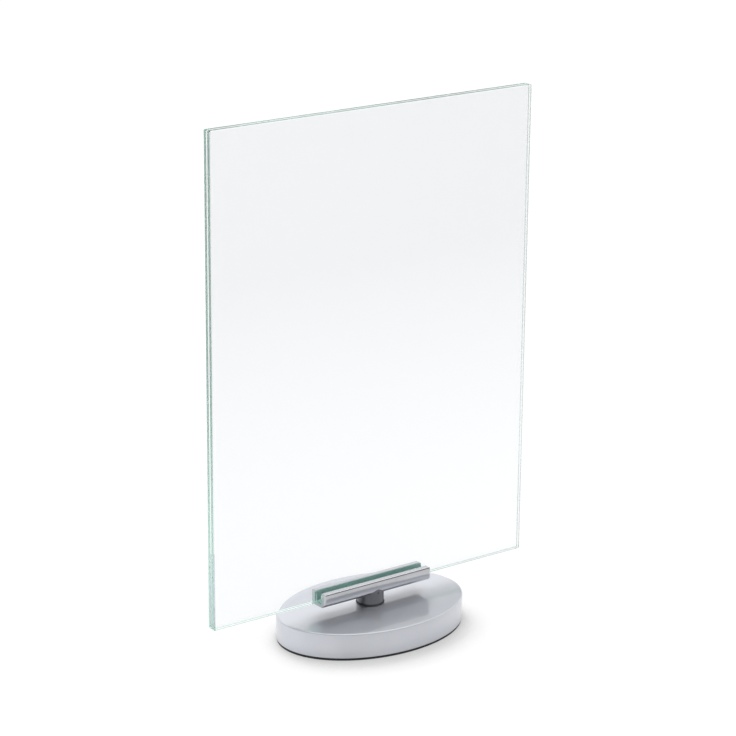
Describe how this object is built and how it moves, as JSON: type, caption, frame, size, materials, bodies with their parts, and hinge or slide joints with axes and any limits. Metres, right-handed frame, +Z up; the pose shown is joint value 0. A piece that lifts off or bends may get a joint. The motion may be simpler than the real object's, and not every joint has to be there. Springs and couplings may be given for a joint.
{
  "type": "tabletop glass sign holder",
  "caption": "Upright clear panes stand face to face in a slotted metal bar on a short round post over a weighted oval base, to show a sheet or shield what stands behind.",
  "frame": {"origin": "centre of the oval base's underside, on the table", "axes": "+Z up, +X along the width of the panes, +Y towards the rear pane"},
  "size_m": [0.216, 0.084, 0.3044],
  "materials": {
    "silver_paint": "satin metallic silver paint",
    "black_rubber": "matt black rubber",
    "ring_rubber": "satin black rubber",
    "polished_metal": "polished",
    "green_liner": "translucent green soft plastic",
    "dark_steel": "dark oxide",
    "zinc_steel": "zinc plated",
    "clear_glass": "clear float glass with ground green edges"
  },
  "bodies": {
    "stand": {"base": "silver_paint", "foot_pad": "black_rubber", "post_ring": "ring_rubber", "post": "polished_metal", "slot_bar": "polished_metal", "slot_liner": "green_liner", "locking_pin": "dark_steel", "base_bolt": "dark_steel", "flat_washer": "zinc_steel", "spring_washer": "zinc_steel"},
    "front_pane": {"glass_pane_front": "clear_glass"},
    "rear_pane": {"glass_pane_rear": "clear_glass"}
  },
  "joints": [
    {"name": "front_pane_lift", "type": "slide", "parent": "stand", "child": "front_pane", "axis": [0, 0, 1], "range_m": [0, 0.03]},
    {"name": "rear_pane_lift", "type": "slide", "parent": "stand", "child": "rear_pane", "axis": [0, 0, 1], "range_m": [0, 0.03]}
  ]
}
